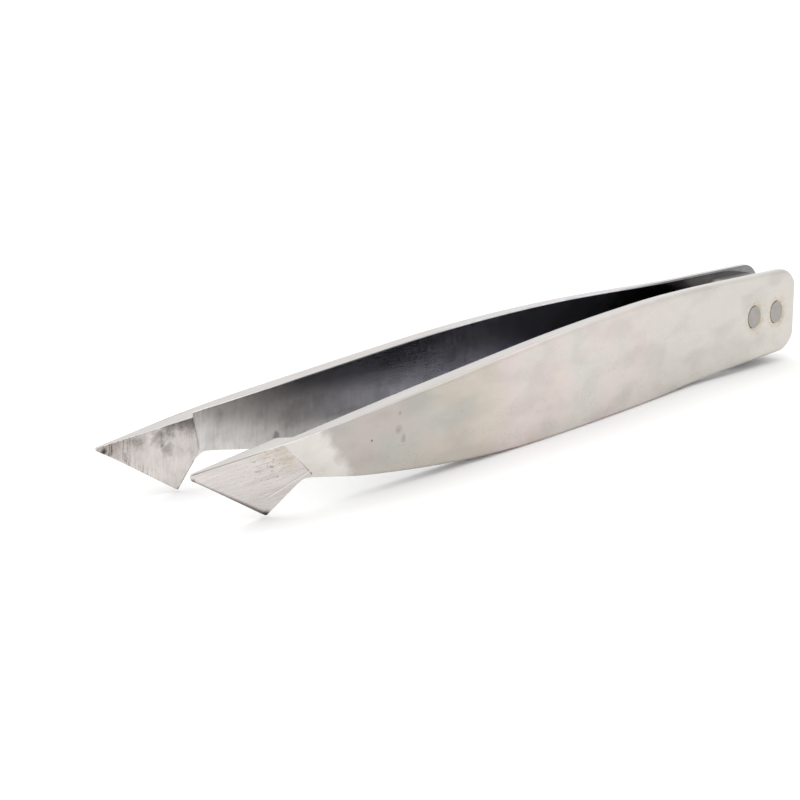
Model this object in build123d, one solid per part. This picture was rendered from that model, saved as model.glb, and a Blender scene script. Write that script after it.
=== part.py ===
"""Slant tweezers: two sprung steel arms, spot welded to a filler block at the tail.

The tweezers lie on their edges, so each arm's broad faces stand upright.
+X runs from the slanted tips to the tail, +Y from the left arm to the right arm, +Z up.
The origin is the middle of the bounding box's bottom. Everything is in millimetres.

Each real arm is one strip of steel. Here it is cut across into three nodes, because an arm
bends: a stiff blade with the claw, a spring stretch that flexes, and a tail that is welded fast.
"""

from build123d import *

import os
from math import cos, radians, sin, sqrt, tan

os.makedirs("parts", exist_ok=True)

# Distances named ..._AT are measured along the tweezers from the tips.
LENGTH = 91.0
HEIGHT = 10.4  # the arm strip at its widest

# Side view of an arm: a leaf that narrows to a slanted claw
TOP_SLOPE = 5.8  # degrees, over the front half
TOP_RADIUS = 300.0
TOP_LEVEL_AT = 66.0
BELLY_RADIUS = 193.0  # from the neck down to the belly
BELLY_LEVEL_AT = 44.4
TAIL_RISE_AT = 62.0
TAIL_RISE_RADIUS = 128.0
TAIL_RISE_SLOPE = 2.9  # degrees
TAIL_CORNER_RADIUS = 2.6
HEEL = (8.1, 0.1)  # the claw's low corner, which all but touches the floor
NECK_AT = 11.4
TIP_OVERRUN = 0.25  # how far in front of the finished tip its corner was before rounding
TIP_RADIUS = 0.12
HEEL_RADIUS = 0.25
NECK_RADIUS = 2.0

# Plan view of an arm: half the distance between the two arms' faces
OUTER_FRONT = 7.22
OUTER_BEND_AT = 14.0
OUTER_BEND_RADIUS = 390.0
OUTER_BEND_ANGLE = 7.0  # degrees
TAIL_BEND_RADIUS = 80.0
TAIL_OUTER = 3.1
TAIL_INNER = 1.88
TAIL_INNER_AT = 75.0
STEP_AT = 10.9  # where the jaw pad stands up from the arm's inner face
PAD_CLEARANCE = 4.8  # the blank inside the jaw, before the pad is ground
INNER_AT_STEP = (STEP_AT, 6.12)
INNER_POINTS = ((22.0, 5.43), (40.0, 4.67), (56.0, 3.46), (68.0, 2.22))
INNER_END_SLOPE = -0.07
EDGE_ROUND = 0.2

# Ground faces of the claw, each through three points (along, across, up)
PAD_FACE = ((0.0, 5.8, 5.2), (8.1, 5.28, 0.0), (8.5, 5.15, 6.1))
STEP_FACE = ((9.6, 5.07, 6.35), (10.0, 5.07, 4.2), (STEP_AT, 6.12, 4.2))
BACK_BEVEL = ((10.2, 5.06, 3.4), (7.8, 5.3, 0.2), (11.3, 6.3, 2.9))
CLAW_FACET = ((0.0, 6.05, 5.2), (8.1, 5.55, 0.0), (10.5, 7.2, 6.3))
NECK_FACET = ((8.7, 7.0, 6.17), (11.8, 6.65, 3.4), (14.4, OUTER_FRONT, 2.4))

# Where an arm is cut into blade, spring stretch and tail
BLADE_END_AT = 51.0
SPRING_END_AT = 77.0

# Filler block between the tails, and the spot welds that hold the arms to it
FILLER_FRONT_AT = 80.6
FILLER_REAR_AT = 89.8
FILLER_HEIGHT = 7.6
FILLER_CORNER_RADIUS = 1.5
WELD_AT = {"front": 83.0, "rear": 87.4}
WELD_RADIUS = 1.2
WELD_DIMPLE = 0.12
WELD_DEPTH = 0.7  # into the filler

BLANK = 20.0  # larger than any arm is high or the tweezers are wide


def side_blank():
    """A block with an arm's outline in side view, its corners rounded."""
    top = radians(TOP_SLOPE)
    top_start = (TOP_LEVEL_AT - TOP_RADIUS * sin(top), HEIGHT - TOP_RADIUS * (1 - cos(top)))
    tip = (-TIP_OVERRUN, top_start[1] - (top_start[0] + TIP_OVERRUN) * tan(top))
    neck = (NECK_AT, BELLY_RADIUS - sqrt(BELLY_RADIUS**2 - (BELLY_LEVEL_AT - NECK_AT) ** 2))
    rise = radians(TAIL_RISE_SLOPE)
    rise_end = (
        TAIL_RISE_AT + TAIL_RISE_RADIUS * sin(rise),
        TAIL_RISE_RADIUS * (1 - cos(rise)),
    )
    tail_top = (LENGTH, HEIGHT)
    tail_low = (LENGTH, rise_end[1] + (LENGTH - rise_end[0]) * tan(rise))
    with BuildSketch() as outline:
        with BuildLine():
            Line(tip, top_start)
            RadiusArc(top_start, (TOP_LEVEL_AT, HEIGHT), TOP_RADIUS)
            Line((TOP_LEVEL_AT, HEIGHT), tail_top)
            Line(tail_top, tail_low)
            Line(tail_low, rise_end)
            RadiusArc(rise_end, (TAIL_RISE_AT, 0), TAIL_RISE_RADIUS)
            Line((TAIL_RISE_AT, 0), (BELLY_LEVEL_AT, 0))
            RadiusArc((BELLY_LEVEL_AT, 0), neck, BELLY_RADIUS)
            Line(neck, HEEL)
            Line(HEEL, tip)
        make_face()
    blank = extrude(Plane.XZ * outline.sketch, -BLANK)
    rounding = {
        tip: TIP_RADIUS,
        HEEL: HEEL_RADIUS,
        neck: NECK_RADIUS,
        tail_top: TAIL_CORNER_RADIUS,
        tail_low: TAIL_CORNER_RADIUS,
    }
    for (along, up), radius in rounding.items():
        corner = blank.edges().filter_by(Axis.Y).sort_by_distance((along, BLANK / 2, up))[0]
        blank = fillet(corner, radius)
    return blank


def plan_outline():
    """The right arm's outline in plan view, as (along, across), with a blank at the jaw."""
    bend = radians(OUTER_BEND_ANGLE)
    bend_end = (
        OUTER_BEND_AT + OUTER_BEND_RADIUS * sin(bend),
        OUTER_FRONT - OUTER_BEND_RADIUS * (1 - cos(bend)),
    )
    flare = TAIL_OUTER + TAIL_BEND_RADIUS * (1 - cos(bend))
    tail_start = (bend_end[0] + (bend_end[1] - flare) / tan(bend), flare)
    tail_flat = (tail_start[0] + TAIL_BEND_RADIUS * sin(bend), TAIL_OUTER)
    inner_end = (TAIL_INNER_AT, TAIL_INNER)
    with BuildSketch() as outline:
        with BuildLine():
            Line((-TIP_OVERRUN, OUTER_FRONT), (OUTER_BEND_AT, OUTER_FRONT))
            RadiusArc((OUTER_BEND_AT, OUTER_FRONT), bend_end, OUTER_BEND_RADIUS)
            Line(bend_end, tail_start)
            RadiusArc(tail_start, tail_flat, -TAIL_BEND_RADIUS)
            Line(tail_flat, (LENGTH, TAIL_OUTER))
            Line((LENGTH, TAIL_OUTER), (LENGTH, TAIL_INNER))
            Line((LENGTH, TAIL_INNER), inner_end)
            Spline(
                (INNER_AT_STEP, *INNER_POINTS, inner_end),
                tangents=((1, INNER_END_SLOPE), (1, 0)),
            )
            Line(INNER_AT_STEP, (STEP_AT, PAD_CLEARANCE))
            Line((STEP_AT, PAD_CLEARANCE), (-TIP_OVERRUN, PAD_CLEARANCE))
            Line((-TIP_OVERRUN, PAD_CLEARANCE), (-TIP_OVERRUN, OUTER_FRONT))
        make_face()
    return outline.sketch


def plane_through(points):
    """The plane through three points, facing away from the middle of the tweezers."""
    a, b, c = (Vector(*p) for p in points)
    normal = (b - a).cross(c - a)
    if normal.Y < 0:
        normal = normal * -1
    return Plane(origin=a, x_dir=b - a, z_dir=normal)


def keep_side(solid, points, keep):
    """The part of an arm outside (Keep.TOP) or inside (Keep.BOTTOM) a ground face."""
    return split(solid, bisect_by=plane_through(points), keep=keep)


def stretch(arm, start, end):
    """The part of an arm between two distances from the tips."""
    box = Box(end - start, 2 * BLANK, 2 * BLANK, align=(Align.MIN, Align.CENTER, Align.CENTER))
    return arm & (Pos(start, 0, 0) * box)


def right_arm():
    """The whole right arm in one solid, with its tip at x = 0."""
    arm = extrude(plan_outline(), BLANK) & side_blank()
    long_edges = arm.edges().filter_by(lambda e: e.length > HEIGHT and e.center().X > NECK_AT)
    arm = fillet(long_edges, EDGE_ROUND)
    claw = stretch(arm, -TIP_OVERRUN, STEP_AT)
    for face in (PAD_FACE, STEP_FACE, BACK_BEVEL):
        claw = keep_side(claw, face, Keep.TOP)
    arm = claw + stretch(arm, STEP_AT, LENGTH)
    return keep_side(arm, CLAW_FACET, Keep.BOTTOM) + keep_side(arm, NECK_FACET, Keep.BOTTOM)


def filler_centre_height():
    """Half way up the tails, where the filler and the welds sit."""
    rise = (FILLER_FRONT_AT + FILLER_REAR_AT) / 2 - TAIL_RISE_AT
    return (HEIGHT + rise * tan(radians(TAIL_RISE_SLOPE))) / 2


def weld(at):
    """One spot weld on the right arm: a slug from a shallow dimple outside into the filler."""
    outside = TAIL_OUTER - WELD_DIMPLE
    length = outside - TAIL_INNER + WELD_DEPTH
    slug = extrude(Plane.XZ * Circle(WELD_RADIUS), -length)
    return Pos(at, outside - length, filler_centre_height()) * slug


def filler():
    """The block between the two tails."""
    length = FILLER_REAR_AT - FILLER_FRONT_AT
    outline = RectangleRounded(length, FILLER_HEIGHT, FILLER_CORNER_RADIUS)
    block = extrude(Plane.XZ * outline, TAIL_INNER, both=True)
    middle = (FILLER_FRONT_AT + FILLER_REAR_AT) / 2
    return Pos(middle, 0, filler_centre_height()) * block


def weld_pocket(at):
    """The room that a weld and its dimple take from the arm and the filler."""
    pocket = weld(at)
    dimple = Pos(0, WELD_DIMPLE, 0) * pocket
    return pocket + dimple


def build():
    """Every node, in its place in the tweezers' own frame."""
    arm = right_arm()
    block = filler()
    for at in WELD_AT.values():
        arm = arm - weld_pocket(at)
        block = block - weld(at) - mirror(weld(at), Plane.XZ)
    sections = {
        "blade": stretch(arm, -TIP_OVERRUN, BLADE_END_AT),
        "spring": stretch(arm, BLADE_END_AT, SPRING_END_AT),
        "tail": stretch(arm, SPRING_END_AT, LENGTH),
    }
    for place, at in WELD_AT.items():
        sections[f"{place}_weld"] = weld(at)
    nodes = {"tail_filler": block}
    for name, solid in sections.items():
        nodes[f"right_{name}"] = solid
        nodes[f"left_{name}"] = mirror(solid, Plane.XZ)
    to_origin = Pos(-arm.bounding_box().center().X, 0, 0)
    return {name: to_origin * solid for name, solid in nodes.items()}


for name, solid in build().items():
    export_step(solid, f"parts/{name}.step")
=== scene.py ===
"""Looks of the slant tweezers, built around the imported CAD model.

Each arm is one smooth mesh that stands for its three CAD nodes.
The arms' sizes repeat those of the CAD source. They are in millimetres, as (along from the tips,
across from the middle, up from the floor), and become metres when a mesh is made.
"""

import math

import bpy
import numpy as np
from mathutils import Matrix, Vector, noise


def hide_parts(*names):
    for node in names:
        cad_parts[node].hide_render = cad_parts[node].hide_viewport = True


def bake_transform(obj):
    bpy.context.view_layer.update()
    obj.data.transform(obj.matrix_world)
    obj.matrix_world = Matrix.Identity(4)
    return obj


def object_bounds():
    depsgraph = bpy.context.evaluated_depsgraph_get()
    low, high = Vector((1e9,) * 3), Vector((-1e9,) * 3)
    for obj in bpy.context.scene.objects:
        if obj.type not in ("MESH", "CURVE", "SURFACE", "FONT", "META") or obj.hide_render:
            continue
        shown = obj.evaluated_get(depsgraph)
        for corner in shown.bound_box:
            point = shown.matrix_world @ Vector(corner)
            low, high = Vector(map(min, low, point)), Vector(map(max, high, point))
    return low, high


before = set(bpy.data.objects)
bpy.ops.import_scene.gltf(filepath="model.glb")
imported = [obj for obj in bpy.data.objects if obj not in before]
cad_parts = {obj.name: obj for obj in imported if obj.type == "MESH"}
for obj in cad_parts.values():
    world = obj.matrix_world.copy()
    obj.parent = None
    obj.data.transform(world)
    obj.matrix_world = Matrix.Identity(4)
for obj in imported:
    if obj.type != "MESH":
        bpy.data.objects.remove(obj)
cad_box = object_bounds()

MM = 0.001
TIP_X = cad_box[0].x
LENGTH = (cad_box[1].x - cad_box[0].x) / MM
HEIGHT = (cad_box[1].z - cad_box[0].z) / MM
SIDES = {"left": -1, "right": 1}  # the sign of an arm's across coordinates

# Side view of an arm
TOP_SLOPE = math.radians(5.8)
TOP_RADIUS = 300.0
TOP_LEVEL_AT = 66.0
BELLY_RADIUS = 193.0
BELLY_LEVEL_AT = 44.4
TAIL_RISE_AT = 62.0
TAIL_RISE_RADIUS = 128.0
TAIL_RISE_SLOPE = math.radians(2.9)
TAIL_CORNER_RADIUS = 2.6
HEEL = (8.1, 0.1)
BACK_SLOPE = 0.83  # of the claw's back edge, from the heel up to the neck
NECK_AT = 11.4
NECK_END_AT = 19.4  # the claw's edges don't reach behind this
HEEL_SOFTNESS = 0.1
NECK_SOFTNESS = 0.45
TIP_HEIGHT = {-1: 0.4, 1: 0.12}  # by side, before rounding: the left tip is blunter
TIP_ROUND = 0.2  # how far back from the tip its rounding starts
TIP_BLUNTNESS = 0.9  # the share of the tip's height that its rounding takes away

# Plan view of an arm
OUTER_FRONT = 7.22
OUTER_BEND_AT = 14.0
OUTER_BEND_RADIUS = 390.0
OUTER_BEND_ANGLE = math.radians(7)
TAIL_BEND_RADIUS = 80.0
TAIL_OUTER = 3.1
INNER_POINTS = ((10.9, 6.12), (22.0, 5.43), (40.0, 4.67), (56.0, 3.46), (68.0, 2.22), (75.0, 1.88))
INNER_START_SLOPE = -0.07
THINNEST = 0.1

# How far an arm's long edges are rounded, as (along, radius)
OUTER_ROUND = ((0.0, 0.05), (16.0, 0.05), (24.0, 0.25), (30.0, 0.32), (60.0, 0.42))
INNER_ROUND = ((0.0, 0.04), (30.0, 0.06), (60.0, 0.1), (80.0, 0.2))
MOST_ROUND = 0.42  # of the arm's thickness

# Spot welds, and the dents around them, deep enough to bare the welds' own faces
WELD_AT = (83.0, 87.4)
WELD_HEIGHT = 5.79
WELD_RADIUS = 1.2
DIMPLE_WALL = 0.3
DIMPLE_DEPTH = 0.2

# Ground faces of the claw, each through three points
PAD_FACE = ((0.0, 5.8, 5.2), (8.1, 5.28, 0.0), (8.5, 5.15, 6.1))
STEP_FACE = ((9.6, 5.07, 6.35), (10.0, 5.07, 4.2), (10.9, 6.12, 4.2))
BACK_BEVEL = ((10.2, 5.06, 3.4), (7.8, 5.3, 0.2), (11.3, 6.3, 2.9))
CLAW_FACET = ((0.0, 6.05, 5.2), (8.1, 5.55, 0.0), (10.5, 7.2, 6.3))
JAW_END_AT = 13.4  # the pad, the step and the bevel don't reach behind this

# Lines across the claw's outside, each through two points given as (along, up): the crease behind the
# ground facet, the rear end of the polished patch, and a painted highlight and shade beside the back
# bevel
CREASE_LINE = ((8.7, 6.17), (11.84, 3.4))
LOWEST_CREASE = 3.0  # below this height the crease runs straight down
PATCH_LINE = ((12.7, 6.6), (16.5, 2.4))
BACK_STREAK = ((7.35, 1.67), (11.0, 3.05))

# Mesh: rows up each face, points across each edge, and runs of columns as (start, end, count)
SHEET_ROWS = 80
RIM_POINTS = 4
COLUMNS = (
    (0.0, 0.3, 12),
    (0.3, 12.0, 180),
    (12.0, 15.5, 40),
    (15.5, 62.0, 110),
    (62.0, 79.0, 30),
    (79.0, 88.4, 70),
)
CORNER_COLUMNS = 26
CREASE = 0.04  # width of a ground crease
WAVE = 0.012
WAVE_LENGTH = 4.5
INNER_WAVES = 3  # which slice of the noise each face's waves follow
OUTER_WAVES = 8

# An arm's materials, and how far the painted shade along the plucking edge reaches
SATIN, INSIDE, CLAW, PAD, RIM, EDGE = range(6)
EDGE_END_AT = 8.25

# Pits, stains, dark spots and painted shade, as (along, across, up, radius)
OUTER_PITS = ((18.64, -7.19, 4.64, 0.14),)
OUTER_SMUDGES = (
    (22.0, -7.14, 5.0, 0.5),
    (22.1, -7.14, 6.4, 0.25),
    (22.6, -7.12, 4.1, 0.4),
)
INNER_PITS = ((19.55, 5.58, 2.66, 0.6),)
INNER_SMUDGES = (
    (24.6, 5.3, 5.0, 0.9),
    (13.4, 6.0, 5.8, 0.6),
    (21.0, 5.5, 3.9, 1.4),
)
PAD_SMUDGES = (
    (4.1, 5.4, 5.0, 0.8),
    (6.9, 5.25, 3.9, 0.8),
    (6.1, 5.3, 5.1, 1.0),
    (7.0, 5.2, 5.5, 1.2),
)
# Painted shade at the rear top corner of the jaw pad, beside the step
PAD_SHADES = ((9.3, 5.15, 5.9, 1.6), (7.9, 5.2, 6.3, 1.5))
CLAW_STAINS = ((7.0, -6.9, 6.0, 1.2), (8.8, -6.8, 5.4, 1.3), (9.6, -6.9, 4.4, 1.0))
CLAW_SPECKS = (7.4, -6.6, 4.8, 3.6)
# Painted shade, near black, at the heels, where the claws come down to the floor
HEEL_SHADES = ((8.1, 5.35, 0.0, 0.55), (8.0, -5.6, 0.0, 0.75))
# Darker spots at the tips
TIP_DARK_SPOTS = ((0.7, 5.7, 4.8, 0.4), (0.15, -6.0, 4.65, 0.35))
WELD_TINTS = tuple(
    (at, side * TAIL_OUTER, WELD_HEIGHT, 2.0) for at in WELD_AT for side in SIDES.values()
)
SPOT_CORE = 0.3  # the share of a spot's radius that is stained in full

# Other marks. Four places are where a mark starts, is full, starts to fade, and ends.
CLOUD_SHIFT = 36.0  # how far the satin's clouds push its hues along the arm
PATCH_RAGGED = 2.4  # how far the satin's ragged start reaches into the polished patch
TOP_SHADE_AT = (19.0, 23.0, 34.0, 44.0)  # the painted shade under an inner face's top edge
TOP_SHADE_RAGGED = 1.2
DULL_AT = (36.0, 44.0, 48.0, 58.0)  # where an inner face is a little rougher
CREASE_LEAN = 0.08  # the painted shade along the crease narrows upwards
# how ragged the darker line under the claw facet's top edge is
TOP_LINE_RAGGED = 0.12

# Shader nodes
SPOT_NOISE = (2.2, 2.2, 2.2)  # how fine a spot's outline wavers, per millimetre
WHITE = (1, 1, 1)
BLACK = (0, 0, 0)
ALONG, UP = 0, 2  # coordinates of the "place" attribute
FROM_BOTTOM, FROM_TOP = 0, 1  # coordinates of the "edges" attribute
MIX_A, MIX_B, MIX_RESULT = 6, 7, 2  # the Mix node's colour sockets
BUMP_DEPTH = 0.00002  # metres
METAL_GRAIN = 900.0  # per metre

# Studio. Lengths are in metres.
FLOOR_REACH = 3.0
FLOOR_SHADE = 0.96
SKY_STRENGTH = 1.12
LAMP_AT = (0.1, 0.15, 0.7)
LAMP_SIZE = 0.8
LAMP_POWER = 1.2

# Camera: its place in millimetres from the tips, and the way that it faces
CAMERA_AT = (-89.066, -112.156, 43.482)
CAMERA_DOWN = 13.22  # degrees
CAMERA_TURN = -46.63  # degrees
LENS = 83.65
SENSOR_WIDTH = 36.0
CLIP_START = 0.005


def soft_max(a, b, width=CREASE):
    """The larger of two distances, with their crease rounded a little."""
    return (a + b + np.hypot(a - b, width)) / 2


def soft_min(a, b, width=CREASE):
    """The smaller of two distances, with their crease rounded a little."""
    return -soft_max(-a, -b, width)


def top_edge(along):
    """Height of an arm's top edge."""
    slope_end = TOP_LEVEL_AT - TOP_RADIUS * math.sin(TOP_SLOPE)
    slope_height = HEIGHT - TOP_RADIUS * (1 - math.cos(TOP_SLOPE))
    line = slope_height - (slope_end - along) * math.tan(TOP_SLOPE)
    from_level = np.clip(TOP_LEVEL_AT - along, 0, TOP_RADIUS)
    arc = HEIGHT - TOP_RADIUS + np.sqrt(TOP_RADIUS**2 - from_level**2)
    return np.where(along < slope_end, line, arc) - tail_corner(along)


def bottom_edge(along, tip_height):
    """Height of an arm's bottom edge: plucking edge, back of the claw, belly and rising tail."""
    to_belly = np.clip(BELLY_LEVEL_AT - along, 0, None)
    belly = BELLY_RADIUS - np.sqrt(BELLY_RADIUS**2 - to_belly**2)
    rise_run = TAIL_RISE_RADIUS * math.sin(TAIL_RISE_SLOPE)
    into_rise = np.clip(along - TAIL_RISE_AT, 0, rise_run)
    rise = TAIL_RISE_RADIUS - np.sqrt(TAIL_RISE_RADIUS**2 - into_rise**2)
    past_rise = np.clip(along - TAIL_RISE_AT - rise_run, 0, None)
    tail = rise + past_rise * math.tan(TAIL_RISE_SLOPE) + tail_corner(along)
    tip_bottom = top_edge(np.array(0.0)) - tip_height
    plucking = tip_bottom + (HEEL[1] - tip_bottom) * along / HEEL[0]
    back = HEEL[1] + (along - HEEL[0]) * BACK_SLOPE
    claw = soft_max(plucking, back, HEEL_SOFTNESS)
    return np.where(along < NECK_END_AT, soft_min(claw, belly, NECK_SOFTNESS), belly) + tail


def tail_corner(along):
    """How far the rounded corners of the tail cut into its height."""
    into = np.clip(along - (LENGTH - TAIL_CORNER_RADIUS), 0, TAIL_CORNER_RADIUS)
    return TAIL_CORNER_RADIUS - np.sqrt(TAIL_CORNER_RADIUS**2 - into**2)


def outer_curve(along):
    """Distance of an arm's outer face from the middle, before the claw is ground."""
    drop = OUTER_BEND_RADIUS * (1 - math.cos(OUTER_BEND_ANGLE))
    bend_end = OUTER_BEND_AT + OUTER_BEND_RADIUS * math.sin(OUTER_BEND_ANGLE)
    into_bend = np.clip(along - OUTER_BEND_AT, 0, bend_end - OUTER_BEND_AT)
    bend = OUTER_FRONT - OUTER_BEND_RADIUS + np.sqrt(OUTER_BEND_RADIUS**2 - into_bend**2)
    flare = TAIL_OUTER + TAIL_BEND_RADIUS * (1 - math.cos(OUTER_BEND_ANGLE))
    taper_end = bend_end + (OUTER_FRONT - drop - flare) / math.tan(OUTER_BEND_ANGLE)
    flat_at = taper_end + TAIL_BEND_RADIUS * math.sin(OUTER_BEND_ANGLE)
    taper = bend - np.clip(along - bend_end, 0, None) * math.tan(OUTER_BEND_ANGLE)
    to_flat = np.clip(flat_at - along, 0, flat_at - taper_end)
    end = TAIL_OUTER + TAIL_BEND_RADIUS - np.sqrt(TAIL_BEND_RADIUS**2 - to_flat**2)
    return np.where(along < taper_end, taper, end)


def inner_curve(along):
    """Distance of an arm's inner face from the middle, behind the jaw pad."""
    x, y = np.array(INNER_POINTS).T
    slope = np.gradient(y, x)
    slope[0] = INNER_START_SLOPE
    slope[-1] = 0.0
    k = np.clip(np.searchsorted(x, along) - 1, 0, len(x) - 2)
    span = x[k + 1] - x[k]
    t = (along - x[k]) / span
    t_in = np.clip(t, 0, 1)
    hermite = (
        y[k] * (2 * t_in**3 - 3 * t_in**2 + 1)
        + slope[k] * span * (t_in**3 - 2 * t_in**2 + t_in)
        + y[k + 1] * (3 * t_in**2 - 2 * t_in**3)
        + slope[k + 1] * span * (t_in**3 - t_in**2)
    )
    return hermite + np.minimum(t, 0) * span * INNER_START_SLOPE


def face_at(points, along, up):
    """Distance from the middle of the plane through three points."""
    points = np.array(points)
    terms = np.column_stack((np.ones(3), points[:, 0], points[:, 2]))
    start, per_along, per_up = np.linalg.solve(terms, points[:, 1])
    return start + per_along * along + per_up * up


def line_at(line, up):
    """How far along a line through two (along, up) points is at a height."""
    (a, low), (b, high) = line
    return a + (b - a) * (up - low) / (high - low)


def crease_at(up):
    """How far along the crease behind the claw's ground facet is at a height."""
    return line_at(CREASE_LINE, np.maximum(up, LOWEST_CREASE))


def waves(along, up, noise_slice):
    """The slight unevenness of a hand-ground face, from 0 to WAVE, always into the steel."""
    shape = np.broadcast(along, up).shape
    places = zip(np.broadcast_to(along, shape).ravel(), np.broadcast_to(up, shape).ravel())
    heights = [noise.noise((x / WAVE_LENGTH, noise_slice, z / WAVE_LENGTH)) for x, z in places]
    return WAVE * (0.5 + 0.5 * np.array(heights).reshape(shape))


def inner_sheet(along, up):
    """Distance of an arm's finished inner face from the middle: pad, step, bevel and strip."""
    sheet = soft_max(face_at(PAD_FACE, along, up), face_at(STEP_FACE, along, up))
    sheet = soft_max(sheet, face_at(BACK_BEVEL, along, up))
    behind = inner_curve(along)
    sheet = np.where(along < JAW_END_AT, soft_min(sheet, behind), behind)
    return sheet + waves(along, up, INNER_WAVES)


def outer_sheet(along, up):
    """Distance of an arm's finished outer face from the middle.

    The polished patch is ruled from the crease behind the claw's facet to its own rear end.
    """
    crease = crease_at(up)
    end = line_at(PATCH_LINE, up)
    blank = outer_curve(along)
    depth = face_at(CLAW_FACET, crease, up)
    patch = depth + (outer_curve(end) - depth) * (along - crease) / (end - crease)
    ground = np.where(along < crease, face_at(CLAW_FACET, along, up), patch)
    sheet = np.where(along < end, soft_min(ground, blank), blank)
    return sheet - waves(along, up, OUTER_WAVES) - weld_dimples(along, up)


def weld_dimples(along, up):
    """Depth of the round dents that the welding electrodes leave in an arm."""
    depth = 0.0
    for at in WELD_AT:
        inside = (WELD_RADIUS + DIMPLE_WALL - np.hypot(along - at, up - WELD_HEIGHT)) / DIMPLE_WALL
        share = np.clip(inside, 0, 1)
        depth = depth + DIMPLE_DEPTH * share**2 * (3 - 2 * share)
    return depth


def column_places():
    """Distances from the tip of the mesh's cross-sections, closest together where it turns."""
    runs = [np.linspace(start, end, count, endpoint=False) for start, end, count in COLUMNS]
    turn = np.linspace(0, math.pi / 2, CORNER_COLUMNS)
    corner = LENGTH - TAIL_CORNER_RADIUS + TAIL_CORNER_RADIUS * np.sin(turn)
    return np.concatenate((*runs, corner))


def row_shares():
    """How far up a face each row is, from 0 to 1, closest together at the edges."""
    even = np.linspace(0, 1, SHEET_ROWS)
    return even / 2 + (1 - np.cos(math.pi * even)) / 4


def rounding(radii, along, thickness, edge):
    """How far a rounded edge cuts into a face, at a distance from that edge."""
    radius = np.minimum(np.interp(along, *zip(*radii)), MOST_ROUND * thickness)
    into = np.clip(radius - edge, 0, radius)
    return radius - np.sqrt(np.clip(radius**2 - into**2, 0, None))


def rim(start, end):
    """Points in straight rows between two faces, for every cross-section."""
    share = np.linspace(0, 1, RIM_POINTS + 2)[1:-1, None]
    return start[:, None] * (1 - share) + end[:, None] * share


def cross_sections(tip_height):
    """Points of every ring round the right arm, as (column, ring, 3)."""
    along = column_places()[:, None]
    low = bottom_edge(along, tip_height)
    high = top_edge(along)
    into_tip = np.clip(1 - along / TIP_ROUND, 0, 1)
    blunt = (high - low) / 2 * (1 - np.sqrt(1 - into_tip**2)) * TIP_BLUNTNESS
    low = low + blunt
    high = high - blunt
    up = low + (high - low) * row_shares()
    outer = outer_sheet(along, up)
    inner = np.minimum(inner_sheet(along, up), outer - THINNEST)
    edge = np.minimum(np.minimum(up - low, high - up), LENGTH - along)
    thickness = outer - inner
    outer = outer - rounding(OUTER_ROUND, along, thickness, edge)
    inner = inner + rounding(INNER_ROUND, along, thickness, edge)
    along = np.broadcast_to(along, up.shape)
    outer_points = np.stack((along, outer, up), -1)
    inner_points = np.stack((along, inner, up), -1)[:, ::-1]
    top = rim(outer_points[:, -1], inner_points[:, 0])
    bottom = rim(inner_points[:, -1], outer_points[:, 0])
    return np.concatenate((outer_points, top, inner_points, bottom), 1)


def ring_faces(columns, ring, side):
    """Faces between neighbouring rings, then a cap at each end, all facing out."""
    i, j = np.meshgrid(np.arange(columns - 1), np.arange(ring), indexing="ij")
    a = i * ring + j
    b = i * ring + (j + 1) % ring
    quads = np.stack((a, b, b + ring, a + ring), -1).reshape(-1, 4).tolist()
    last = (columns - 1) * ring
    caps = [list(range(ring))[::-1], list(range(last, last + ring))]
    if side < 0:
        quads = [quad[::-1] for quad in quads]
        caps = [cap[::-1] for cap in caps]
    return quads, caps


def add_attribute(mesh, name, vectors):
    """Store a vector at each vertex, for the materials to read."""
    attribute = mesh.attributes.new(name, "FLOAT_VECTOR", "POINT")
    attribute.data.foreach_set("vector", vectors.astype(np.float32).ravel())


def arm_mesh(name, side):
    """One arm as a closed mesh. side is 1 for the right arm and -1 for the left."""
    tip_height = TIP_HEIGHT[side]
    rings = cross_sections(tip_height)
    points = rings.reshape(-1, 3) * (1, side, 1)
    quads, caps = ring_faces(*rings.shape[:2], side)
    mesh = bpy.data.meshes.new(name)
    mesh.from_pydata((points * MM + (TIP_X, 0, 0)).tolist(), [], quads + caps)
    mesh.polygons.foreach_set("use_smooth", [True] * len(quads) + [False] * len(caps))
    mesh.polygons.foreach_set("material_index", face_materials(rings) + [RIM] * len(caps))
    along, _, up = points.T
    from_edges = (up - bottom_edge(along, tip_height), top_edge(along) - up, np.zeros_like(up))
    add_attribute(mesh, "place", points)
    add_attribute(mesh, "edges", np.stack(from_edges, -1))
    mesh.update()
    return mesh


def face_materials(rings):
    """Which material each quad wears."""
    middles = (rings[:-1] + rings[1:]) / 2
    middles = (middles + np.roll(middles, -1, 1)) / 2
    along, across, up = np.moveaxis(middles, -1, 0)
    step = np.arange(rings.shape[1])
    inner_start = SHEET_ROWS + RIM_POINTS
    inner_end = inner_start + SHEET_ROWS - 1
    on_outer = step < SHEET_ROWS - 1
    on_inner = (step >= inner_start) & (step < inner_end)
    facet = along < crease_at(up)
    pad = (along < NECK_AT) & (inner_curve(along) - across > CREASE)
    low_edge = (step >= inner_end) & (along < EDGE_END_AT)
    kind = np.full(along.shape, RIM)
    for where, material in (
        (on_outer, SATIN),
        (on_outer & facet, CLAW),
        (on_inner, INSIDE),
        (on_inner & pad, PAD),
        (low_edge, EDGE),
    ):
        kind = np.where(where, material, kind)
    return kind.ravel().tolist()


def tint(level, red=1.06, blue=0.95):
    """The colour of steel at a level of grey, warm by default."""
    return (level * red, level, level * blue)


def grey(level):
    """A plain grey."""
    return (level, level, level)


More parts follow.
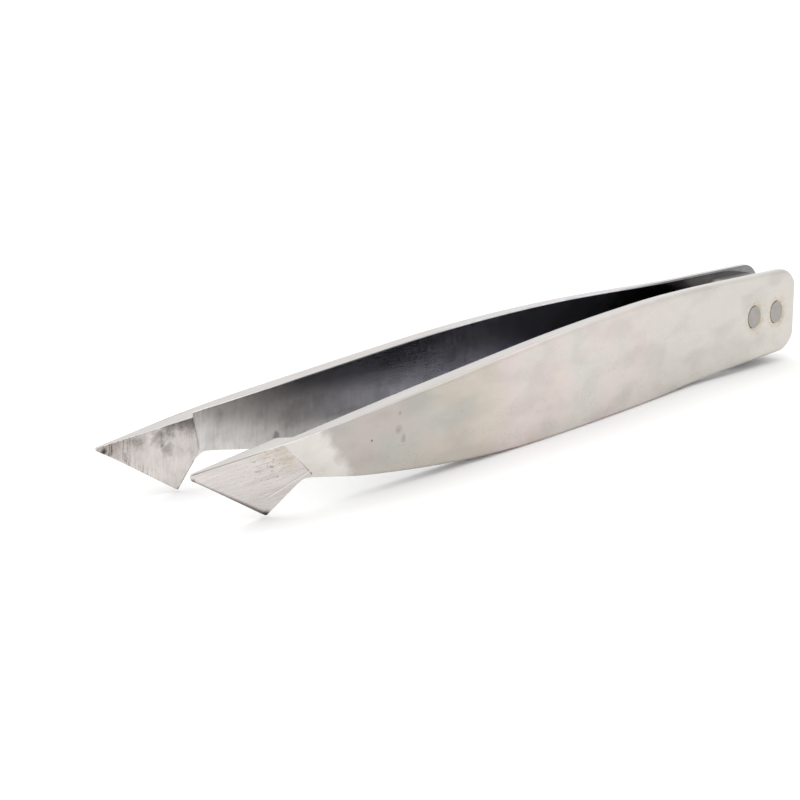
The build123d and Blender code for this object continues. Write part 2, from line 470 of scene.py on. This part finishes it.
class Nodes:
    """Short ways to add nodes to one metal. Values are sockets of other nodes, or numbers."""

    def __init__(self, name):
        self.material = bpy.data.materials.new(name)
        self.material.use_nodes = True
        self.tree = self.material.node_tree
        self.shader = next(n for n in self.tree.nodes if n.type == "BSDF_PRINCIPLED")

    def add(self, kind, **values):
        """A new node. Each value sets the input of that name, or else the property."""
        node = self.tree.nodes.new(kind)
        for key, value in values.items():
            if key in node.inputs:
                node.inputs[key].default_value = value
            else:
                setattr(node, key, value)
        return node

    def feed(self, value, target):
        """Give an input a number, or link a socket to it."""
        if isinstance(value, (int, float)):
            target.default_value = value
        else:
            self.tree.links.new(value, target)

    def finish(self, colour, roughness, normal=None):
        """The finished metal."""
        self.feed(colour, self.shader.inputs["Base Color"])
        self.feed(roughness, self.shader.inputs["Roughness"])
        if normal is not None:
            self.feed(normal, self.shader.inputs["Normal"])
        self.shader.inputs["Metallic"].default_value = 1.0
        return self.material

    def place(self, scale=(1, 1, 1), turn=0.0):
        """The arm's own coordinates in millimetres, turned down and then stretched."""
        vector = self.add("ShaderNodeAttribute", attribute_name="place").outputs["Vector"]
        if turn:
            turned = self.add("ShaderNodeVectorRotate", rotation_type="Y_AXIS", Angle=turn)
            self.feed(vector, turned.inputs["Vector"])
            vector = turned.outputs["Vector"]
        mapping = self.add("ShaderNodeMapping", Scale=scale)
        self.feed(vector, mapping.inputs["Vector"])
        return mapping.outputs["Vector"]

    def axis(self, attribute, index):
        """One coordinate of a mesh attribute, in millimetres."""
        vector = self.add("ShaderNodeAttribute", attribute_name=attribute).outputs["Vector"]
        parts = self.add("ShaderNodeSeparateXYZ")
        self.feed(vector, parts.inputs["Vector"])
        return parts.outputs[index]

    def noise(self, vector, scale, detail, roughness):
        """Soft noise from about 0.3 to 0.7."""
        node = self.add("ShaderNodeTexNoise", Scale=scale, Detail=detail, Roughness=roughness)
        self.feed(vector, node.inputs["Vector"])
        return node.outputs["Fac"]

    def grain(self, scale, detail, roughness, turn=0.0):
        """Noise over the arm's own coordinates. scale is how fine it is in each, per millimetre."""
        return self.noise(self.place(scale, turn), 1.0, detail, roughness)

    def math(self, operation, *values):
        """The result of a Math node."""
        node = self.add("ShaderNodeMath", operation=operation)
        for socket, value in zip(node.inputs, values):
            self.feed(value, socket)
        return node.outputs["Value"]

    def between(self, value, low, high, to_low=0, to_high=1):
        """value mapped from low..high to to_low..to_high, and kept within that."""
        node = self.add("ShaderNodeMapRange")
        keys = ("From Min", "From Max", "To Min", "To Max")
        for key, number in zip(keys, (low, high, to_low, to_high)):
            node.inputs[key].default_value = number
        self.feed(value, node.inputs["Value"])
        return node.outputs["Result"]

    def hump(self, value, start, full, fading, end):
        """1 from full to fading, and 0 before start and after end."""
        rise = self.between(value, start, full)
        fall = self.between(value, fading, end, 1, 0)
        return self.math("MINIMUM", rise, fall)

    def ramp(self, value, *stops):
        """A colour ramp over value. Each stop is (place, colour)."""
        node = self.add("ShaderNodeValToRGB")
        elements = node.color_ramp.elements
        while len(elements) < len(stops):
            elements.new(0.5)
        for element, (at, colour) in zip(elements, stops):
            element.position = at
            element.color = (*colour, 1)
        self.feed(value, node.inputs["Fac"])
        return node.outputs["Color"]

    def blend(self, share, a, b, mode="MIX"):
        """Colour a, turning into b (or into both, combined by mode) where share is 1."""
        node = self.add("ShaderNodeMix", data_type="RGBA", blend_type=mode)
        self.feed(share, node.inputs["Factor"])
        self.feed(a, node.inputs[MIX_A])
        self.feed(b, node.inputs[MIX_B])
        return node.outputs[MIX_RESULT]

    def multiply(self, a, b):
        """Two colours multiplied."""
        return self.blend(1.0, a, b, "MULTIPLY")

    def darken(self, colour, value, full, end, stain):
        """colour times stain where value is under full, and unchanged where it is over end."""
        return self.multiply(colour, self.ramp(value, (full, stain), (end, WHITE)))

    def beyond(self, line):
        """Signed distance past a line through two (along, up) points, in millimetres."""
        (a, low), (b, high) = line
        across = Vector((high - low, 0, a - b)).normalized()
        if across.x < 0:
            across = -across
        dot = self.add("ShaderNodeVectorMath", operation="DOT_PRODUCT")
        self.feed(self.place(), dot.inputs[0])
        dot.inputs[1].default_value = across
        return self.math("SUBTRACT", dot.outputs["Value"], across.dot(Vector((a, 0, low))))

    def within(self, spot, uneven=1.6):
        """1 inside an uneven spot, given as (along, across, up, radius), and 0 outside it."""
        *centre, radius = spot
        away = self.add("ShaderNodeVectorMath", operation="DISTANCE")
        self.feed(self.place(), away.inputs[0])
        away.inputs[1].default_value = centre
        outline = self.grain(SPOT_NOISE, detail=3.0, roughness=0.6)
        bent = self.math("MULTIPLY_ADD", outline, uneven * radius, away.outputs["Value"])
        middle = uneven / 2
        return self.between(bent, (middle + SPOT_CORE) * radius, (middle + 1) * radius, 1, 0)

    def stained(self, colour, spots, stain, uneven=1.6):
        """colour with each spot multiplied by stain."""
        for spot in spots:
            share = self.ramp(self.within(spot, uneven), (0.0, WHITE), (1.0, stain))
            colour = self.multiply(colour, share)
        return colour

    def bump(self, height, strength):
        """Normals of a surface with a fine relief."""
        node = self.add("ShaderNodeBump", Strength=strength, Distance=BUMP_DEPTH)
        self.feed(height, node.inputs["Height"])
        return node.outputs["Normal"]


def satin_steel():
    """The arms' outer faces: satin steel with soft clouds and pits, polished behind the claw."""
    n = Nodes("satin_steel")
    along = n.axis("place", ALONG)
    base = n.ramp(
        n.between(along, 14.0, 64.0),
        (0.0, tint(0.47)),
        (0.1, tint(0.455)),
        (0.3, tint(0.50)),
        (0.5, tint(0.60)),
        (0.7, tint(0.61)),
        (1.0, tint(0.58)),
    )
    fine = n.grain((0.5, 0.5, 1.0), detail=2.0, roughness=0.5)
    colour = n.multiply(base, satin_hues(n, along))
    colour = n.darken(colour, fine, 0.35, 0.6, (0.96, 0.965, 0.96))
    smears = n.grain((0.18, 0.18, 0.4), detail=2.0, roughness=0.5)
    colour = n.darken(colour, smears, 0.35, 0.55, (0.90, 0.905, 0.90))
    colour = n.stained(colour, OUTER_PITS, (0.25, 0.22, 0.2))
    colour = n.stained(colour, OUTER_SMUDGES, (0.75, 0.74, 0.73))
    colour = n.stained(colour, WELD_TINTS, (0.86, 0.74, 0.55))
    bright = n.ramp(
        fine,
        (0.35, tint(0.61, red=1.045, blue=0.93)),
        (0.65, tint(0.66, red=1.045, blue=0.94)),
    )
    colour = n.blend(polished_patch(n), colour, bright)
    return n.finish(colour, n.between(fine, 0.3, 0.7, 0.26, 0.34))


def satin_hues(n, along):
    """Pink, tan and greenish clouds that follow each other along the satin faces."""
    clouds = n.grain((0.12, 0.12, 0.25), detail=2.0, roughness=0.5)
    drift = n.math("MULTIPLY_ADD", clouds, CLOUD_SHIFT, along)
    return n.ramp(
        n.between(drift, 32.0, 82.0),
        (0.0, (0.97, 0.94, 0.93)),
        (0.07, (0.98, 0.93, 0.915)),
        (0.17, (0.91, 0.935, 0.905)),
        (0.34, (0.99, 0.945, 0.88)),
        (0.52, (1.0, 0.935, 0.945)),
        (0.66, (0.92, 0.95, 0.92)),
        (0.82, (1.0, 0.945, 0.955)),
        (1.0, (0.96, 0.965, 0.94)),
    )


def polished_patch(n):
    """1 on the polished patch behind the claw, with a ragged rear end, and 0 on the satin."""
    patchy = n.grain((0.7, 0.7, 0.7), detail=2.0, roughness=0.5)
    ragged = n.math("MULTIPLY_ADD", patchy, PATCH_RAGGED, n.beyond(PATCH_LINE))
    return n.between(ragged, 0.6, 1.7, 1, 0)


def inside_steel():
    """The arms' inner faces: smoother than the outside, stained behind the claw, and painted shade of
    the gap.
    """
    n = Nodes("inside_steel")
    along = n.axis("place", ALONG)
    # Painted shade: the ramp darkens the inner face where it faces the gap between the arms, most
    # just behind the neck and in front of the filler.
    base = n.ramp(
        n.between(along, 10.0, 80.0),
        (0.0, (0.82, 0.79, 0.77)),
        (0.08, (0.71, 0.685, 0.665)),
        (0.16, (0.52, 0.50, 0.485)),
        (0.25, (0.46, 0.45, 0.45)),
        (0.36, (0.55, 0.545, 0.565)),
        (0.54, (0.66, 0.655, 0.69)),
        (0.76, (0.74, 0.73, 0.78)),
        (0.9, (0.22, 0.216, 0.22)),
    )
    stains = n.grain((0.35, 0.35, 0.5), detail=4.0, roughness=0.65)
    colour = n.darken(base, stains, 0.32, 0.55, grey(0.80))
    brushed = n.grain((4, 1, 0.5), detail=1.0, roughness=0.5)
    colour = n.darken(colour, brushed, 0.35, 0.6, grey(0.90))
    # Painted shade: a dark band under the top edge, where the inner face mirrors the deep gap between
    # the arms.
    top_shade_height = n.math("MULTIPLY_ADD", stains, TOP_SHADE_RAGGED, n.axis("place", UP))
    band = n.ramp(n.between(top_shade_height, 6.0, 8.4), (0.1, WHITE), (0.7, (0.45, 0.45, 0.46)))
    band_share = n.hump(along, *TOP_SHADE_AT)
    colour = n.blend(band_share, colour, n.multiply(colour, band))
    colour = n.stained(colour, INNER_PITS, (0.5, 0.48, 0.47))
    colour = n.stained(colour, INNER_SMUDGES, grey(0.84))
    smooth = n.between(along, 14.0, 30.0, 0.24, 0.12)
    duller = n.hump(along, *DULL_AT)
    return n.finish(colour, n.math("MULTIPLY_ADD", duller, 0.05, smooth))


def claw_steel():
    """The claw's ground outer facet: scratches parallel to its top edge, stains and specks."""
    n = Nodes("claw_steel")
    scratches = n.grain((0.3, 0.5, 8), detail=5.0, roughness=0.7, turn=TOP_SLOPE)
    colour = n.ramp(
        scratches,
        (0.32, tint(0.48, red=1.06, blue=0.99)),
        (0.42, tint(0.605, red=1.065, blue=0.965)),
        (0.62, tint(0.665, red=1.06, blue=0.96)),
    )
    broad = n.grain((0.12, 0.5, 1.6), detail=3.0, roughness=0.6, turn=TOP_SLOPE)
    colour = n.darken(colour, broad, 0.35, 0.55, (0.88, 0.87, 0.87))
    colour = n.stained(colour, CLAW_STAINS, (0.92, 0.885, 0.82))
    specks = n.grain((2.4, 1, 6), detail=4.0, roughness=0.7, turn=TOP_SLOPE)
    rust = n.ramp(specks, (0.57, WHITE), (0.66, (0.56, 0.46, 0.43)))
    colour = n.blend(n.within(CLAW_SPECKS), colour, n.multiply(colour, rust))
    colour = dark_claw_edges(n, colour, scratches)
    colour = back_highlight_and_shade(n, colour, scratches)
    colour = n.stained(colour, TIP_DARK_SPOTS, (0.5, 0.46, 0.45), uneven=1.0)
    # Painted shade, near black, at the heel
    colour = n.stained(colour, HEEL_SHADES, (0.05, 0.045, 0.045), uneven=0.3)
    roughness = n.between(scratches, 0.3, 0.7, 0.24, 0.32)
    return n.finish(colour, roughness, n.bump(scratches, strength=0.3))


def dark_claw_edges(n, colour, scratches):
    """The facet's colour: painted shade along its crease and plucking edge, and darker along its top
    edge.
    """
    along = n.axis("place", ALONG)
    # Painted shade along the crease behind the facet
    before = n.math("MULTIPLY", n.beyond(CREASE_LINE), -1.0)
    crease = n.math("MULTIPLY_ADD", n.axis("place", UP), CREASE_LEAN, before)
    colour = n.darken(colour, n.between(crease, 0.3, 0.5), 0.0, 0.6, (0.55, 0.52, 0.50))
    # A ragged darker line under the facet's top edge
    ragged_line = n.math("MULTIPLY_ADD", scratches, TOP_LINE_RAGGED, n.axis("edges", FROM_TOP))
    ragged_line = n.math("ADD", ragged_line, n.between(along, 6.0, 9.0, 0, 0.25))
    colour = n.darken(colour, n.between(ragged_line, 0.05, 0.22), 0.3, 0.9, (0.52, 0.49, 0.48))
    # Painted shade along the plucking edge, widest at the heel, where the edge mirrors the floor's
    # contact shadow
    wider = n.between(along, 2.0, HEEL[0], 0.0, 0.2)
    behind_heel = n.between(along, HEEL[0], 8.4, 0.0, 0.5)
    low = n.math("SUBTRACT", n.axis("edges", FROM_BOTTOM), wider)
    low = n.math("ADD", low, behind_heel)
    return n.darken(colour, n.between(low, -0.1, 0.2), 0.2, 1.0, (0.28, 0.26, 0.26))


def back_highlight_and_shade(n, colour, scratches):
    """The facet's colour with a line of painted shade and one of painted highlight where the back
    bevel meets it.
    """
    across = n.beyond(BACK_STREAK)
    fade = n.between(n.axis("place", ALONG), 7.2, 8.4)
    # Painted shade
    dark = n.ramp(across, (0.0, WHITE), (0.03, (0.66, 0.62, 0.61)), (0.1, WHITE))
    colour = n.blend(fade, colour, n.multiply(colour, dark))
    # Painted highlight
    bright = n.ramp(across, (0.08, BLACK), (0.12, WHITE), (0.3, BLACK))
    share = n.math("MULTIPLY", fade, bright)
    return n.blend(share, colour, n.ramp(scratches, (0.3, tint(0.7)), (0.6, tint(0.74))))


def pad_steel():
    """The jaw pad: ground across, with dark ticks towards the tip and the plucking edge."""
    n = Nodes("pad_steel")
    patches = n.grain((0.6, 0.6, 0.5), detail=3.0, roughness=0.6)
    colour = n.ramp(
        patches,
        (0.30, tint(0.50, red=1.06, blue=0.96)),
        (0.45, tint(0.61, red=1.07, blue=0.96)),
        (0.6, tint(0.67, red=1.07, blue=0.96)),
    )
    ticks = n.grain((8, 1, 0.8), detail=3.0, roughness=0.7)
    dark_ticks = n.ramp(ticks, (0.36, (0.34, 0.33, 0.33)), (0.46, WHITE))
    calm = n.ramp(calm_share(n), (0.0, BLACK), (1.0, WHITE))
    colour = n.multiply(colour, n.blend(1.0, dark_ticks, calm, "LIGHTEN"))
    colour = n.darken(colour, ticks, 0.35, 0.55, grey(0.90))
    colour = n.stained(colour, PAD_SMUDGES, grey(0.6))
    # Painted shade at the pad's rear top corner
    colour = n.stained(colour, PAD_SHADES, (0.48, 0.47, 0.47), uneven=0.7)
    colour = n.stained(colour, TIP_DARK_SPOTS, (0.17, 0.16, 0.16), uneven=1.0)
    # Painted shade, near black, at the heel
    colour = n.stained(colour, HEEL_SHADES, (0.06, 0.055, 0.055), uneven=0.3)
    roughness = n.between(patches, 0.3, 0.7, 0.12, 0.18)
    return n.finish(colour, roughness, n.bump(ticks, strength=0.2))


def calm_share(n):
    """1 where the pad has no dark ticks, and less towards the tip and the plucking edge."""
    along = n.axis("place", ALONG)
    tip = n.between(along, 0.3, 4.0, 0.25, 1)
    low = n.between(n.axis("edges", FROM_BOTTOM), 0.0, 0.9, 0.35, 1)
    return n.math("MAXIMUM", n.math("MINIMUM", tip, low), n.between(along, 4.5, 6.5))


def rim_steel():
    """The arms' edges: barrelled smooth and brighter."""
    n = Nodes("rim_steel")
    patches = n.grain((0.3, 1, 1), detail=3.0, roughness=0.6)
    colour = n.ramp(
        patches,
        (0.3, tint(0.50, red=1.05, blue=0.96)),
        (0.7, tint(0.56, red=1.05, blue=0.96)),
    )
    return n.finish(colour, n.between(patches, 0.3, 0.7, 0.2, 0.28))


def edge_steel():
    """The thin plucking edge: painted shade, darkest at the heel."""
    n = Nodes("edge_steel")
    along = n.between(n.axis("place", ALONG), 0.0, 8.0)
    base = n.ramp(along, (0.2, tint(0.45)), (0.5, tint(0.14)), (1.0, tint(0.03)))
    ragged_line = n.grain((6, 1, 6), detail=3.0, roughness=0.6)
    return n.finish(n.darken(base, ragged_line, 0.35, 0.6, grey(0.5)), 0.4)


def tail_steel(name, level):
    """Blanked steel of the filler and the welds, with a fine grain."""
    n = Nodes(name)
    coordinates = n.add("ShaderNodeTexCoord").outputs["Object"]
    grain = n.noise(coordinates, METAL_GRAIN, detail=4.0, roughness=0.6)
    colour = n.ramp(grain, (0.3, tint(0.8 * level)), (0.7, tint(level)))
    roughness = n.between(grain, 0.3, 0.7, 0.3, 0.42)
    return n.finish(colour, roughness, n.bump(grain, strength=0.2))


def finish_tail():
    """The filler block and the spot welds keep their CAD shapes and get their own steel."""
    filler = tail_steel("filler_steel", 0.32)
    weld = tail_steel("weld_steel", 0.35)
    for name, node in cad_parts.items():
        if name == "tail_filler" or name.endswith("_weld"):
            node.data.materials.clear()
            node.data.materials.append(filler if name == "tail_filler" else weld)


def make_arms():
    """Both arms, each in place of its blade, spring stretch and tail."""
    # In the order of SATIN, INSIDE, CLAW, PAD, RIM, EDGE
    materials = (satin_steel(), inside_steel(), claw_steel(), pad_steel(), rim_steel(), edge_steel())
    for side_name, side in SIDES.items():
        arm = bpy.data.objects.new(f"{side_name}_arm", arm_mesh(f"{side_name}_arm", side))
        bpy.context.scene.collection.objects.link(arm)
        for material in materials:
            arm.data.materials.append(material)
        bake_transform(arm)
        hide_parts(f"{side_name}_blade", f"{side_name}_spring", f"{side_name}_tail")


def make_floor():
    """A plain pale floor."""
    corners = [(x * FLOOR_REACH, y * FLOOR_REACH, 0) for x, y in ((-1, -1), (1, -1), (1, 1), (-1, 1))]
    mesh = bpy.data.meshes.new("floor")
    mesh.from_pydata(corners, [], [(0, 1, 2, 3)])
    floor = bpy.data.objects.new("floor", mesh)
    bpy.context.scene.collection.objects.link(floor)
    material = bpy.data.materials.new("floor")
    material.use_nodes = True
    shader = material.node_tree.nodes["Principled BSDF"]
    shader.inputs["Base Color"].default_value = (*grey(FLOOR_SHADE), 1)
    shader.inputs["Roughness"].default_value = 0.9
    mesh.materials.append(material)


def make_light():
    """An even white sky, and one large soft lamp above and a little behind the tweezers."""
    scene = bpy.context.scene
    scene.view_settings.view_transform = "Standard"
    scene.world = bpy.data.worlds.new("studio")
    scene.world.use_nodes = True
    background = scene.world.node_tree.nodes["Background"]
    background.inputs["Color"].default_value = (*WHITE, 1)
    background.inputs["Strength"].default_value = SKY_STRENGTH
    light = bpy.data.lights.new("key", "AREA")
    light.size = LAMP_SIZE
    light.energy = LAMP_POWER
    lamp = bpy.data.objects.new("key", light)
    lamp.location = LAMP_AT
    lamp.rotation_euler = (-lamp.location).to_track_quat("-Z", "Y").to_euler()
    scene.collection.objects.link(lamp)


def make_camera():
    """The camera, beside the left arm's tip and a little above it."""
    data = bpy.data.cameras.new("camera")
    data.lens = LENS
    data.sensor_width = SENSOR_WIDTH
    data.clip_start = CLIP_START
    camera = bpy.data.objects.new("camera", data)
    bpy.context.scene.collection.objects.link(camera)
    camera.location = Vector((TIP_X, 0, 0)) + MM * Vector(CAMERA_AT)
    camera.rotation_euler = (math.radians(90 - CAMERA_DOWN), 0, math.radians(CAMERA_TURN))
    bpy.context.scene.camera = camera


make_arms()
finish_tail()
make_floor()
make_light()
make_camera()
